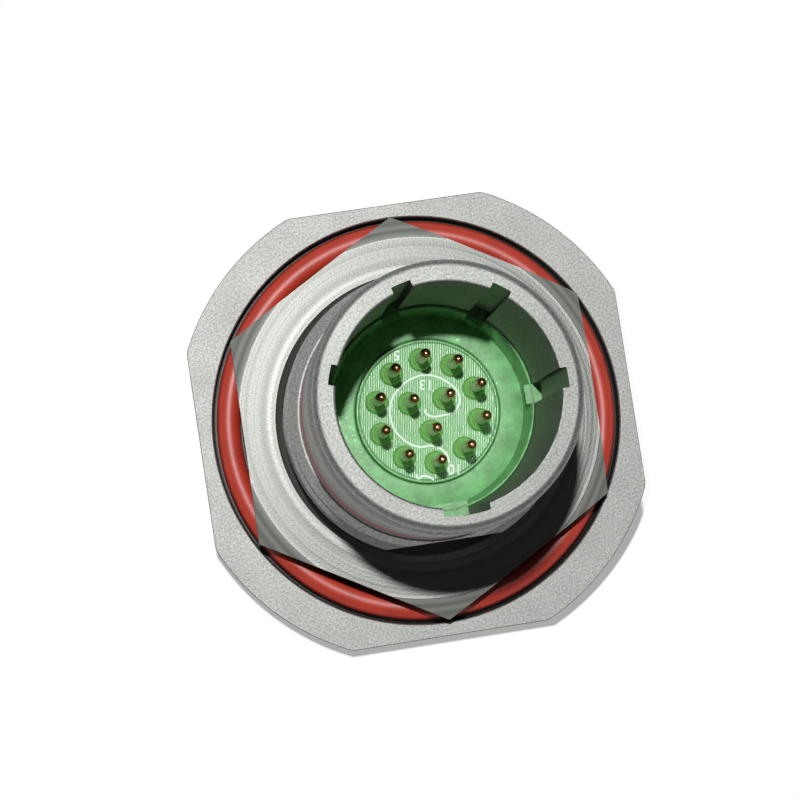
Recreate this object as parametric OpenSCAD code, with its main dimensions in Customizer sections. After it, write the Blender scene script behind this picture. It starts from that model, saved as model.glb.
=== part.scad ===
// Jam-nut panel receptacle of a push-pull circular connector, shell size 11, 13 pin contacts.
// The origin is the centre of the flange's panel face. +Z points at the mating plug.
// Lengths are in millimetres.

/* [Flange] */
// Width of the flange across its flats
flange_af = 32.1; // [31.35:0.05:32.5]
// Diameter of the arcs between the flats
flange_d = 35.25; // [34.6:0.05:38]
// Thickness of the flange
flange_t = 3.0; // [2.6:0.1:4]
// Break on the flange's edges
flange_break = 0.17; // [0.1:0.01:0.4]

/* [Panel seal] */
// Outer diameter of the groove for the panel seal
groove_od = 30.1; // [30:0.05:30.4]
// Inner diameter of the groove
groove_id = 25.4; // [24.6:0.1:25.8]
// Depth of the groove
groove_depth = 1.4; // [1.2:0.05:1.5]
// Cord diameter of the panel seal
seal_cord_d = 1.75; // [1.5:0.05:1.8]
// Mean diameter of the panel seal
seal_mean_d = 27.75; // [27.4:0.05:28]

/* [Panel thread and nut] */
// Major diameter of the panel thread
panel_thread_d = 19.95; // [19.8:0.01:20]
// Height of the thread's end above the flange
panel_thread_h = 8.6; // [7:0.1:9]
// Distance of the anti-rotation flat from the axis
flat_offset = 9.15; // [9.0:0.05:9.6]
// Width of the nut across its flats
nut_af = 25.7; // [25:0.1:26]
// Thickness of the nut
nut_t = 2.3; // [2:0.1:3]
// Height of the nut's underside above the flange
nut_z = 0.5; // [0.5:0.05:0.9]
// Turn of the nut's first corner from +X, in degrees
nut_turn = 29.7; // [0:0.1:60]

/* [Mating barrel] */
// Outer diameter of the barrel
barrel_d = 17.78; // [17.6:0.02:18]
// Height of the barrel's mouth above the flange
barrel_h = 24.0; // [22:0.1:26]
// Bore of the barrel
bore_d = 14.44; // [14.3:0.02:14.8]
// Height of the bore's floor above the flange
bore_floor = 6.4; // [6:0.1:7]
// Radial depth of the keyways
key_depth = 0.5; // [0.3:0.05:0.6]
// Width of the main keyway
main_key_w = 3.0; // [2.4:0.1:3.4]
// Width of the four minor keyways
minor_key_w = 1.32; // [1:0.04:1.8]
// Direction of the main keyway from +X, in degrees
main_key_angle = 270; // [0:5:355]

/* [Contact layout] */
// Contacts in the outer ring
outer_count = 10; // [6:1:10]
// Radius of the outer ring
outer_r = 3.64; // [3.6:0.01:3.8]
// Contacts in the inner ring
inner_count = 3; // [1:1:3]
// Radius of the inner ring
inner_r = 1.43; // [1.38:0.01:1.45]
// Diameter of a contact's pin
pin_d = 0.76; // [0.7:0.02:0.8]
// Mean diameter of the shank behind the pin, inside the inserts
shank_d = 0.84; // [0.8:0.02:0.9]
// Height of the pins' tips above the flange
pin_tip_z = 13.8; // [12:0.1:15]

/* [Inserts] */
// Diameter of the front insert
insert_d = 11.74; // [11.6:0.02:11.76]
// Diameter of the boss that carries the interface seal
boss_d = 10.1; // [10:0.02:10.2]
// Height of the interface seal's face above the flange
seal_face_z = 8.65; // [8.4:0.05:9]
// Thickness of the interface seal
seal_t = 0.85; // [0.6:0.05:1]
// Height of the towers around the pins
tower_h = 1.1; // [0.5:0.05:1.4]
// Height of the peripheral seal's outer edge above the flange
rim_seal_z = 8.2; // [8:0.05:8.4]

/* [Accessory end] */
// Major diameter of the accessory thread
rear_thread_d = 14.95; // [14.8:0.01:15]
// Length of the shell behind the flange
rear_len = 8.3; // [8:0.1:9]
// Teeth that lock an accessory against turning
tooth_count = 24; // [16:4:32]
// Depth of the teeth
tooth_depth = 0.8; // [0.5:0.1:1]

/* [Hidden] */
$fn = 96;

eps = 0.01;          // overlap that keeps a cut clean
slip = 0.03;         // radial gap between pieces that slide together
nut_slip = 0.045;    // radial gap between the nut and the thread
flange_r = flange_d / 2;
rear_end = -flange_t - rear_len;

// The barrel's outside: a latch groove behind a narrow lip, then a band, then the thread's end.
lip_r = barrel_d / 2 - 0.19;
lip_h = 1.5;         // from the mouth to the latch groove
lip_round = 0.45;    // radius on the mouth's outer edge
latch_r = lip_r - 0.3;
latch_w = 1.0;
latch_ramp = 0.5;    // height of the ramp from the latch groove to the barrel
foot_step_r = barrel_d / 2 + 0.1;
foot_step_h = 0.35;
thread_chamfer = 0.35;
land_drop = 0.15;    // the land inside the seal groove lies below the panel face

// Both threads are rings at the thread's pitch, in place of a helix.
pitch = 1.0;
crest_w = 0.2;
root_w = 0.2;
thread_depth = 0.45;
flank_h = (pitch - crest_w - root_w) / 2;

// The keyways, counter-clockwise from the main one as the mouth is faced.
MINOR_KEYS = [90, 145, 195, 252];
key_r = bore_d / 2 + key_depth;
key_floor = rim_seal_z - 0.5;

// The bore behind the cavity.
mid_r = insert_d / 2 + slip;
rear_r = mid_r + 0.4;
shoulder_z = -1.0;   // the rear insert stops here
rear_insert_t = 4.5;
grommet_z = shoulder_z - rear_insert_t;
grommet_step_z = grommet_z - 3.8;
grommet_end_z = rear_end + 1.0;
ring_t = 0.7;
ring_groove = 0.35;  // depth of the retaining ring's groove
ear_clear_r = rear_r - 1.5;  // the grommet's nose, inside the ring's ears

// One contact and its clip.
web_z = 3.2;         // the contact's collar stops against the front insert here
collar_r = 0.84;
collar_t = 0.8;
shank_taper = 0.02;  // how far the shank's end diameters lie from its mean
neck_r = 0.56;
shank_top_z = seal_face_z + tower_h - 0.05;
crimp_r = 0.62;
crimp_top_z = -1.2;
crimp_end_z = -3.4;
crimp_bore_r = 0.43;
crimp_bore_l = 2.0;
clip_r = 0.85;
clip_wall = 0.1;
clip_pinch = 0.09;   // gap between the tines' tips and the contact's neck
pocket_r = clip_r + slip;

function ring_points(count, r, first) =
    [for (i = [0:count - 1]) r * [cos(first + 360 * i / count), sin(first + 360 * i / count)]];

// Contact places: the outer ring counter-clockwise from +Y, then the inner ring from -Y.
PLACES = concat(ring_points(outer_count, outer_r, 90), ring_points(inner_count, inner_r, -90));

module at_places(z = 0) {
    for (place = PLACES) translate([place[0], place[1], z]) children();
}

// A ring with a rectangular section, from z0 up to z1.
module tube(r_out, r_in, z0, z1) {
    translate([0, 0, z0]) difference() {
        cylinder(r = r_out, h = z1 - z0);
        translate([0, 0, -eps]) cylinder(r = r_in, h = z1 - z0 + 2 * eps);
    }
}

// ---- Shell ----

// The flange: a square with its corners turned round, and broken edges.
module flange() {
    half = flange_af / 2;
    difference() {
        intersection() {
            translate([-half, -half, -flange_t]) cube([flange_af, flange_af, flange_t]);
            rotate_extrude() polygon([
                [0, -flange_t],
                [flange_r - flange_break, -flange_t],
                [flange_r, -flange_t + flange_break],
                [flange_r, -flange_break],
                [flange_r - flange_break, 0],
                [0, 0]]);
        }
        for (side = [0:90:270], z = [-flange_t, 0])
            rotate([0, 0, side]) translate([half, 0, z]) rotate([0, 45, 0])
                cube([flange_break * sqrt(2), flange_af, flange_break * sqrt(2)], center = true);
        tube(groove_od / 2, groove_id / 2, -groove_depth, eps);
        tube(groove_id / 2 + eps, 0, -land_drop, eps);
    }
}

// The section of a thread of major radius r, whose lowest crest ends at height z.
function thread_section(r, z, turns) = [for (i = [0:turns - 1]) each [
    [r - thread_depth, z + i * pitch - crest_w - flank_h],
    [r, z + i * pitch - crest_w],
    [r, z + i * pitch],
    [r - thread_depth, z + i * pitch + flank_h]]];

// The panel thread, with its flat. The last crest runs into the end's chamfer.
module panel_thread() {
    r = panel_thread_d / 2;
    turns = 8;
    end_z = panel_thread_h - thread_chamfer;
    rings = thread_section(r, end_z - (turns - 1) * pitch, turns);
    intersection() {
        rotate_extrude() polygon(concat(
            [[0, -flange_t / 2], [r - thread_depth, -flange_t / 2]],
            [for (i = [0:len(rings) - 2]) rings[i]],
            [[r - thread_chamfer, panel_thread_h], [0, panel_thread_h]]));
        translate([-r, -flat_offset, -flange_t]) cube([2 * r, flat_offset + r, panel_thread_h + flange_t]);
    }
}

// The barrel's outside, turned from one profile with its mouth rounded by an arc.
module barrel_outside() {
    r = barrel_d / 2;
    groove_top = barrel_h - lip_h;
    groove_foot = groove_top - latch_w;
    rotate_extrude() polygon(concat(
        [[0, 0], [r, 0],
         [r, panel_thread_h - foot_step_h],
         [foot_step_r, panel_thread_h],
         [r, panel_thread_h + foot_step_h],
         [r, groove_foot - latch_ramp],
         [latch_r, groove_foot],
         [latch_r, groove_top - (lip_r - latch_r)],
         [lip_r, groove_top]],
        [for (a = [0:15:90])
            [lip_r - lip_round * (1 - cos(a)), barrel_h - lip_round * (1 - sin(a))]],
        [[0, barrel_h]]));
}

// The accessory end's outside, behind the flange.
module rear_outside() {
    r = rear_thread_d / 2;
    hub_z = -flange_t - 1.2;
    relief_z = hub_z - 0.7;
    turns = 5;
    thread_foot = rear_end + tooth_depth + 0.6;
    rings = thread_section(r, thread_foot + crest_w, turns);
    rotate_extrude() polygon(concat(
        [[0, rear_end],
         [r - 0.3, rear_end],
         [r - 0.3, thread_foot - 0.3]],
        [for (i = [1:len(rings) - 1]) rings[i]],
        [[r - thread_depth, relief_z],
         [r - 0.6, relief_z],
         [r - 0.6, hub_z],
         [r + 0.55, hub_z],
         [r + 0.8, hub_z + 0.25],
         [r + 0.8, -flange_t / 2],
         [0, -flange_t / 2]]));
}

module keyway(angle, width) {
    rotate([0, 0, angle]) intersection() {
        translate([0, 0, key_floor]) cylinder(r = key_r, h = barrel_h);
        translate([0, -width / 2, key_floor]) cube([key_r + 1, width, barrel_h]);
    }
}

module keyways() {
    keyway(main_key_angle, main_key_w);
    for (a = MINOR_KEYS) keyway(main_key_angle + a, minor_key_w);
}

// V-shaped gaps between the teeth on the shell's rear edge.
module tooth_gaps() {
    pitch_w = 2 * PI * rear_r / tooth_count;
    for (i = [0:tooth_count - 1])
        rotate([0, 0, (i + 0.5) * 360 / tooth_count]) translate([rear_r - 1, 0, rear_end])
            rotate([90, 0, 90]) linear_extrude(height = 3)
                polygon([[-pitch_w / 2, -eps], [pitch_w / 2, -eps], [0, tooth_depth]]);
}

module shell() {
    mouth_break = 0.15;
    color("silver") difference() {
        union() {
            flange();
            panel_thread();
            barrel_outside();
            rear_outside();
        }
        translate([0, 0, bore_floor]) cylinder(d = bore_d, h = barrel_h);
        translate([0, 0, barrel_h - mouth_break])
            cylinder(d1 = bore_d, d2 = bore_d + 4 * mouth_break, h = 2 * mouth_break);
        keyways();
        translate([0, 0, shoulder_z - eps]) cylinder(r = mid_r, h = bore_floor - shoulder_z + 2 * eps);
        translate([0, 0, rear_end - eps]) cylinder(r = rear_r, h = shoulder_z - rear_end + eps);
        tube(rear_r + ring_groove, rear_r - eps, grommet_step_z - ring_t - slip, grommet_step_z + slip);
        tooth_gaps();
    }
}

// ---- Nut and panel seal ----

module jam_nut() {
    corner_r = nut_af / 2 / cos(30);
    face_r = nut_af / 2 + 0.35;
    chamfer_h = (corner_r - face_r) * tan(30);
    bore_r = panel_thread_d / 2 + nut_slip;
    lead_in = 0.5;
    color("lightgray") translate([0, 0, nut_z]) difference() {
        intersection() {
            rotate([0, 0, nut_turn]) cylinder(r = corner_r, h = nut_t, $fn = 6);
            rotate_extrude() polygon([
                [0, 0],
                [corner_r - 0.3, 0],
                [corner_r + 0.1, 0.3],
                [corner_r + 0.1, nut_t - chamfer_h - 0.1 * tan(30)],
                [face_r, nut_t],
                [0, nut_t]]);
        }
        translate([0, 0, -eps]) cylinder(r = bore_r, h = nut_t + 2 * eps);
        translate([0, 0, nut_t - lead_in])
            cylinder(r1 = bore_r, r2 = bore_r + lead_in + eps, h = lead_in + eps);
        translate([0, 0, -eps]) cylinder(r1 = bore_r + lead_in / 2 + eps, r2 = bore_r, h = lead_in / 2 + eps);
    }
}

module panel_seal() {
    color("firebrick") translate([0, 0, seal_cord_d / 2 - groove_depth])
        rotate_extrude() translate([seal_mean_d / 2, 0]) circle(d = seal_cord_d);
}

// ---- Inserts and their seals ----

// The ring around the boss that seals against the plug's shell. Its top is crowned inwards.
module peripheral_seal() {
    r_in = boss_d / 2 + 0.08;
    r_out = bore_d / 2 - slip;
    color("palegreen") rotate_extrude() polygon([
        [r_in, bore_floor],
        [r_out, bore_floor],
        [r_out, rim_seal_z - 0.15],
        [r_out - 0.15, rim_seal_z],
        [r_in + 0.4, rim_seal_z + 0.25],
        [r_in + 0.1, rim_seal_z + 0.2],
        [r_in, rim_seal_z + 0.1]]);
}

// A cone round one pin, with its top edge broken.
module tower() {
    edge = 0.1;
    cylinder(r1 = 0.82, r2 = 0.6, h = tower_h - edge);
    translate([0, 0, tower_h - edge]) cylinder(r1 = 0.6, r2 = 0.5, h = edge);
}

// The soft disc on the insert's face, with a tower round each pin.
module interface_seal() {
    edge = 0.12;
    z0 = seal_face_z - seal_t;
    color("mediumseagreen") difference() {
        union() {
            translate([0, 0, z0]) cylinder(d = boss_d, h = seal_t - edge);
            translate([0, 0, seal_face_z - edge]) cylinder(d1 = boss_d, d2 = boss_d - 2 * edge, h = edge);
            at_places(seal_face_z - eps) tower();
        }
        at_places(z0 - eps) cylinder(d = shank_d + slip, h = seal_t + tower_h + 1, $fn = 48);
    }
}

// The hard insert: a stepped plug with a web that stops each contact's collar.
module front_insert() {
    top = seal_face_z - seal_t;
    color("seagreen") difference() {
        union() {
            translate([0, 0, shoulder_z]) cylinder(d = insert_d, h = bore_floor - shoulder_z);
            translate([0, 0, bore_floor - eps]) cylinder(d = boss_d, h = top - bore_floor + eps);
        }
        at_places(shoulder_z - eps) cylinder(r = pocket_r, h = web_z - shoulder_z + eps, $fn = 48);
        at_places(web_z - eps) cylinder(r = shank_d / 2 + slip, h = top - web_z + 2 * eps, $fn = 48);
    }
}

// The hard insert behind it, which traps the clips and meets the shell's shoulder.
module rear_insert() {
    lead_in = 0.25;
    color("darkgreen") difference() {
        translate([0, 0, grommet_z]) cylinder(r = rear_r - slip, h = rear_insert_t);
        at_places(grommet_z - eps) cylinder(r = crimp_r + 2 * slip, h = rear_insert_t + 2 * eps, $fn = 48);
        at_places(grommet_z - eps)
            cylinder(r1 = crimp_r + 2 * slip + lead_in, r2 = crimp_r + 2 * slip, h = lead_in, $fn = 48);
    }
}

// The soft grommet: it seals round each wire, and each hole has a raised mouth.
module rear_grommet() {
    mouth_h = 0.5;
    wire_r = 0.45;
    color("limegreen") difference() {
        union() {
            translate([0, 0, grommet_step_z]) cylinder(r = rear_r - slip, h = grommet_z - grommet_step_z);
            translate([0, 0, grommet_end_z + mouth_h])
                cylinder(r = ear_clear_r, h = grommet_step_z - grommet_end_z - mouth_h + eps);
            at_places(grommet_end_z) cylinder(r1 = 0.78, r2 = 0.95, h = mouth_h + eps, $fn = 48);
        }
        at_places(grommet_end_z - eps)
            cylinder(r = wire_r, h = grommet_z - grommet_end_z + 2 * eps, $fn = 48);
        at_places(grommet_end_z - eps) cylinder(r1 = wire_r + 0.2, r2 = wire_r, h = 0.35, $fn = 48);
        for (k = [1:2]) at_places(grommet_end_z + 1.5 * k) cylinder(r = wire_r + 0.15, h = 0.8, $fn = 48);
    }
}

// The split ring that holds the inserts in the shell, with two ears for a tool.
module retaining_ring() {
    ring_out = rear_r + ring_groove - slip;
    ring_in = rear_r - 0.45;
    ear_in = ear_clear_r + slip;
    ear_half = 9;        // half of an ear's angle
    gap_half = 6;        // half of the gap between the ears
    hole_r = 0.28;
    color("gray") translate([0, 0, grommet_step_z - ring_t]) difference() {
        union() {
            rotate([0, 0, gap_half]) rotate_extrude(angle = 360 - 2 * gap_half)
                translate([ring_in, 0]) square([ring_out - ring_in, ring_t]);
            for (side = [-1, 1]) rotate([0, 0, side * (gap_half + ear_half) - ear_half])
                rotate_extrude(angle = 2 * ear_half)
                    translate([ear_in, 0]) square([ring_in - ear_in + 0.2, ring_t]);
        }
        for (side = [-1, 1]) rotate([0, 0, side * (gap_half + ear_half)])
            translate([(ear_in + ring_in) / 2 + 0.1, 0, -eps])
                cylinder(r = hole_r, h = ring_t + 2 * eps, $fn = 32);
    }
}

// ---- Contacts ----

// A turned pin: domed tip, collar, neck for the clip, and a crimp barrel with its inspection hole.
module contact() {
    pin_r = pin_d / 2;
    color("gold") difference() {
        union() {
            translate([0, 0, web_z - eps])
                cylinder(d1 = shank_d + shank_taper, d2 = shank_d - shank_taper,
                         h = shank_top_z - web_z + eps, $fn = 48);
            translate([0, 0, shank_top_z - eps])
                cylinder(r = pin_r, h = pin_tip_z - pin_r - shank_top_z + eps, $fn = 48);
            translate([0, 0, pin_tip_z - pin_r]) sphere(r = pin_r, $fn = 32);
            translate([0, 0, web_z - collar_t]) cylinder(r = collar_r, h = collar_t, $fn = 48);
            translate([0, 0, crimp_top_z - eps])
                cylinder(r = neck_r, h = web_z - collar_t - crimp_top_z + 2 * eps, $fn = 48);
            translate([0, 0, crimp_end_z]) cylinder(r = crimp_r, h = crimp_top_z - crimp_end_z, $fn = 48);
        }
        translate([0, 0, crimp_end_z - eps]) cylinder(r = crimp_bore_r, h = crimp_bore_l + eps, $fn = 32);
        translate([0, 0, crimp_end_z + crimp_bore_l - 0.4]) rotate([90, 0, 0])
            cylinder(r = 0.17, h = 4 * crimp_r, center = true, $fn = 24);
    }
}

// A rolled sleeve whose tines lean in behind the collar.
module clip() {
    z0 = shoulder_z;
    z1 = web_z - collar_t;
    tine_in = neck_r + clip_pinch;
    color("darkgoldenrod") difference() {
        rotate_extrude($fn = 48) polygon([
            [clip_r - clip_wall, z0],
            [clip_r, z0],
            [clip_r, z0 + 1.2],
            [tine_in + clip_wall, z1],
            [tine_in, z1],
            [clip_r - clip_wall, z0 + 1.2]]);
        translate([0, 0, z0 + 1.6]) for (a = [0, 60, 120]) rotate([0, 0, a])
            translate([-1.5, -0.08, 0]) cube([3, 0.16, 3]);
        translate([0, -0.1, z0 - eps]) cube([2, 0.2, 4]);
    }
}

shell();
jam_nut();
panel_seal();
peripheral_seal();
interface_seal();
front_insert();
rear_insert();
rear_grommet();
retaining_ring();
for (i = [0:len(PLACES) - 1]) {
    translate(PLACES[i]) contact();
    translate(PLACES[i]) clip();
}
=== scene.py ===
"""Looks of a jam-nut panel receptacle: plated metal, rubber seals, green inserts and gold pins.

Every size is in metres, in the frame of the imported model: the origin is the centre of the flange's
panel face, and +Z points at the mating plug.
"""

import math

import bmesh
import bpy
from bmesh.types import BMEdge, BMVert
from bpy.props import FloatProperty, FloatVectorProperty, IntProperty, PointerProperty
from bpy.types import Operator, Panel, PropertyGroup
from mathutils import Euler, Matrix, Vector


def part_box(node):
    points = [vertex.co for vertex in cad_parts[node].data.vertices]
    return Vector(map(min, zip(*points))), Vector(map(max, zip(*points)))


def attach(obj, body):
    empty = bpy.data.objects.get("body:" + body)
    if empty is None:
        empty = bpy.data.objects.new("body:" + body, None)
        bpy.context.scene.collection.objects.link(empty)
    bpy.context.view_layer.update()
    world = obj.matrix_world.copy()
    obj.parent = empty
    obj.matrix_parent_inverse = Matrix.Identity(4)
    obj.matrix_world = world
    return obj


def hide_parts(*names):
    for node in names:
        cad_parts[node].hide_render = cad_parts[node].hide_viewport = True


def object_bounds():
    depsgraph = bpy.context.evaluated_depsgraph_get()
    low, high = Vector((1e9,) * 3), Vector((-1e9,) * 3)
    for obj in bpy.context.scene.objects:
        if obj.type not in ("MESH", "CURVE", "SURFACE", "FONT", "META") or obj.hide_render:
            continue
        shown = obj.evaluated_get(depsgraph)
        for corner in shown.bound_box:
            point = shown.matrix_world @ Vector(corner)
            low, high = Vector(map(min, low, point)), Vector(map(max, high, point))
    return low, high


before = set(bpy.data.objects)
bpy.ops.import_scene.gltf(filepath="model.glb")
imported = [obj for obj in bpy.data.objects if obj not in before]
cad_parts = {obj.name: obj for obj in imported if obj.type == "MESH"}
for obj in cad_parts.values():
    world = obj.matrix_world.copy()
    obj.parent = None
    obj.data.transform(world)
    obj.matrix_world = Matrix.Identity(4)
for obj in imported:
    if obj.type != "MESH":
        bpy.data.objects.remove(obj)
CAD_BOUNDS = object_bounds()

bl_info = {
    "name": "Panel receptacle looks",
    "version": (1, 0, 0),
    "blender": (4, 5, 0),
    "location": "View3D > Sidebar > Receptacle",
    "description": "Models and finishes a keyed circular receptacle with pins, seals and a jam nut",
    "category": "Object",
}

MM = 0.001
FULL_TURN = 2 * math.pi
SHELL_LOW, SHELL_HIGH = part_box("shell")
NUT_LOW, NUT_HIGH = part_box("jam_nut")
CONTACTS = sorted(
    (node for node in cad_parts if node.startswith("contact_")),
    key=lambda node: int(node.removeprefix("contact_")),
)
CLIPS = sorted(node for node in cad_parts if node.startswith("clip_"))

# Directions of the minor keyways, in degrees counter-clockwise from the main one.
MINOR_KEYS = (90, 145, 195, 252)

# Material slots of the shell, in the order of make_shell's list.
# The third slot is a dark plating that paints shade on the flange's edges and in its groove.
PLATED, BANDED, PAINTED_SHADE, SMOOTH = range(4)

# Gaps, in metres, within which points count as one, and within which a point counts as in a plane.
MERGE_GAP = 1e-7
THREAD_GAP = 1e-6
PLANE_GAP = 1e-8

# A face is upright when its normal rises less than this.
UPRIGHT = 0.01

# The print on the insert's face, in millimetres from the axis: (x, y) knots, and (digits, x, y).
LEAD_LINE = [
    (-0.20, 0.15), (-0.05, -0.25), (0.99, -0.44), (1.98, -0.17), (2.33, 0.80), (1.73, 1.76),
    (0.42, 2.49), (-0.70, 2.43), (-1.82, 1.81), (-2.50, 0.89), (-2.61, -0.51), (-2.04, -1.66),
    (-1.05, -2.36), (0.04, -2.48), (0.78, -3.07), (0.94, -3.80),
]
START_MARK = [(-1.45, -4.25), (-1.42, -4.54), (-1.05, -4.44), (-0.60, -4.59), (-0.32, -4.82)]
NUMBERS = [("13", 0.15, 1.88), ("10", 1.25, -4.28), ("5", -1.57, 4.22)]


# ---------------------------------------------------------------- properties


def length(name, about, default):
    """A length property, with its default in millimetres."""
    return FloatProperty(
        name=name, description=about, default=default * MM, unit="LENGTH", precision=5
    )


def rotation(name, about, default):
    """An angle property, with its default in degrees."""
    return FloatProperty(
        name=name, description=about, default=math.radians(default), subtype="ANGLE"
    )


def tint(name, about, default):
    """A colour property."""
    return FloatVectorProperty(
        name=name, description=about, default=default, subtype="COLOR", size=3, min=0.0, max=1.0
    )


class ShellSizes(PropertyGroup):
    """Sizes of the machined shell."""

    flange_r: length("Flange radius", "Radius of the arcs between the flange's flats", 17.625)
    flange_t: length("Flange thickness", "Thickness of the flange", 3.0)
    edge_r: length("Flange edge", "Radius on the flange's edges", 0.17)
    corner_r: length("Flange corners", "How far the rounding of the flange's corners reaches", 0.35)
    groove_out_r: length("Groove outer radius", "Outer wall of the panel seal's groove", 15.05)
    groove_in_r: length("Groove inner radius", "Inner wall of the panel seal's groove", 12.7)
    groove_depth: length("Groove depth", "Depth of the panel seal's groove", 1.4)
    thread_r: length("Panel thread", "Major radius of the panel thread", 9.975)
    thread_h: length("Panel thread height", "Height of the thread's end above the flange", 8.6)
    flat_offset: length("Flat", "Distance of the anti-rotation flat from the axis", 9.15)
    pitch: length("Pitch", "Pitch of both threads", 1.0)
    barrel_r: length("Barrel", "Outer radius of the barrel", 8.89)
    bore_r: length("Bore", "Radius of the barrel's bore", 7.22)
    bore_floor: length("Bore floor", "Height of the bore's floor", 6.4)
    key_r: length("Keyways", "Radius of the keyways' floors", 7.72)
    key_floor: length("Keyway foot", "Height at which the keyways end on the peripheral seal's lip", 11.1)
    main_key_w: length("Main keyway", "Width of the main keyway", 3.0)
    minor_key_w: length("Minor keyways", "Width of the minor keyways", 1.32)
    mid_r: length("Insert bore", "Radius of the bore behind the cavity", 5.9)
    shoulder_z: length("Shoulder", "Height of the shoulder that stops the inserts", -1.0)
    rear_r: length("Rear bore", "Radius of the rear bore", 6.3)
    rear_thread_r: length("Accessory thread", "Major radius of the accessory thread", 7.475)
    ring_top: length("Ring groove", "Height of the retaining ring's upper face", -9.3)
    tooth_depth: length("Teeth", "Depth of the accessory teeth", 0.8)
    teeth: IntProperty(name="Tooth count", description="Teeth round the accessory end", default=24)


class NutSizes(PropertyGroup):
    """Sizes of the jam nut."""

    flat_r: length("Half width", "Half of the width across the flats", 12.85)
    bore_r: length("Bore", "Radius of the nut's bore", 10.02)
    face_r: length("Face", "Radius at which the corner chamfer starts", 13.2)
    first_corner: rotation("Turn", "Turn of the first corner from +X", 29.7)


class SealSizes(PropertyGroup):
    """Sizes of the seals and the insert's face."""

    cord_r: length("Cord", "Radius of the panel seal's cord", 0.875)
    ring_r: length("Ring", "Mean radius of the panel seal", 13.875)
    boss_r: length("Boss", "Radius of the interface seal", 5.05)
    face_z: length("Face", "Height of the interface seal's face", 8.65)
    rim_z: length("Rim", "Height of the peripheral seal's outer edge", 8.2)
    tower_h: length("Towers", "Height of the towers round the pins", 1.1)
    tower_r: length("Tower foot", "Radius of a tower's foot", 0.82)


class PrintSizes(PropertyGroup):
    """Sizes of the print on the insert's face."""

    line_w: length("Line", "Width of the lead line", 0.15)
    digit_h: length("Digits", "Size of the digits", 1.0)
    digit_turn: rotation("Turn", "Turn of the digits", 171)


class ContactSizes(PropertyGroup):
    """Sizes of a contact."""

    pin_r: length("Pin", "Radius of the pin", 0.38)
    tip_r: length("Tip", "Radius of the pin's domed tip", 0.31)
    shank_r: length("Shank", "Radius of the shank inside the inserts", 0.42)
    shank_top: length("Shank top", "Height at which the shank ends", 9.7)
    collar_r: length("Collar", "Radius of the collar", 0.84)
    collar_top: length("Collar top", "Height of the collar's upper face", 3.2)
    crimp_r: length("Crimp barrel", "Outer radius of the crimp barrel", 0.62)
    crimp_bore_r: length("Crimp bore", "Radius of the crimp barrel's bore", 0.43)


class Finishes(PropertyGroup):
    """Colours of the finishes."""

    plating: tint("Plating", "Grey plating of the flange", (0.345, 0.350, 0.336))
    barrel_plating: tint("Barrel", "Smoother plating of the barrel", (0.200, 0.205, 0.193))
    nut_plating: tint("Nut plating", "Grey plating of the nut", (0.130, 0.135, 0.126))
    nut_chamfer: tint("Nut chamfers", "Duller plating of the nut's chamfers", (0.305, 0.320, 0.292))
    # Painted shade: a dark plating that stands in for the shade on the flange's rounded edges and in its
    # groove.
    painted_shade_plating: tint("Edges", "Darker plating on the flange's edges and in its groove", (0.10, 0.105, 0.10))
    band: tint("Band", "Red band at the barrel's foot", (0.34, 0.045, 0.06))
    red_rubber: tint("Panel seal", "Red rubber of the panel seal", (0.47, 0.036, 0.017))
    rim_rubber: tint("Peripheral seal", "Light green rubber", (0.13, 0.37, 0.13))
    face_rubber: tint("Interface seal", "Green rubber of the insert's face", (0.10, 0.38, 0.10))
    face_bloom: tint("Bloom", "Pale bloom along the striations of the face", (0.31, 0.42, 0.30))
    tower_rubber: tint("Towers", "Paler green rubber of the towers", (0.19, 0.47, 0.12))
    insert: tint("Inserts", "Hard green plastic", (0.08, 0.34, 0.12))
    print_ink: tint("Print", "White print on the insert's face", (0.66, 0.80, 0.67))
    gold: tint("Gold", "Gold plating of the contacts", (0.66, 0.32, 0.15))
    # Painted reflection: this pale green tint stands in for the green seals mirrored in the pins below
    # their tips.
    pale_gold_green_reflection: tint("Pale gold", "Thinner, paler plating below the tips", (0.55, 0.62, 0.40))
    clip_copper: tint("Clips", "Copper alloy of the clips", (0.72, 0.46, 0.22))
    spring: tint("Ring", "Steel of the retaining ring", (0.45, 0.45, 0.46))


class Studio(PropertyGroup):
    """The camera, the lamp and the floor."""

    lens: FloatProperty(name="Lens", description="Camera's focal length in millimetres", default=105.0)
    distance: length("Distance", "Distance of the camera from the flange's plane", 171.85)
    patch_flat: length("Patch across flats", "Half the width of the floor's shaded patch", 17.3)
    patch_round: length("Patch radius", "Radius of the floor's shaded patch", 19.05)
    patch_middle: FloatVectorProperty(
        name="Patch middle",
        description="Middle of the floor's shaded patch",
        size=2,
        default=(0.00125, 0.0003),
        subtype="XYZ",
        unit="LENGTH",
    )
    pan: FloatVectorProperty(
        name="Pan",
        description="Sideways and upward shift of the camera",
        default=(-1.29 * MM, 1.41 * MM),
        size=2,
        subtype="XYZ",
    )
    tilt: FloatVectorProperty(
        name="Tilt",
        description="Turn of the camera from straight above the mouth",
        default=(math.radians(4.19), math.radians(-4.38), math.radians(-8.77)),
        size=3,
        subtype="EULER",
    )
    lamp_place: FloatVectorProperty(
        name="Lamp",
        description="Place of the lamp",
        default=(-0.0154, 0.0354, 0.226),
        size=3,
        subtype="XYZ",
    )
    lamp_size: length("Lamp size", "Diameter of the lamp", 7.0)
    lamp_power: FloatProperty(name="Lamp power", description="Power of the lamp in watts", default=0.46)
    floor_r: length("Floor", "Radius of the floor", 1000.0)


# ---------------------------------------------------------------- mesh helpers


def arc(centre, radius, start, end, points):
    """Points of an arc in the (radius, height) plane, with angles in degrees from outwards."""
    turns = [math.radians(start + (end - start) * i / (points - 1)) for i in range(points)]
    return [(centre[0] + radius * math.cos(a), centre[1] + radius * math.sin(a)) for a in turns]


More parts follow.
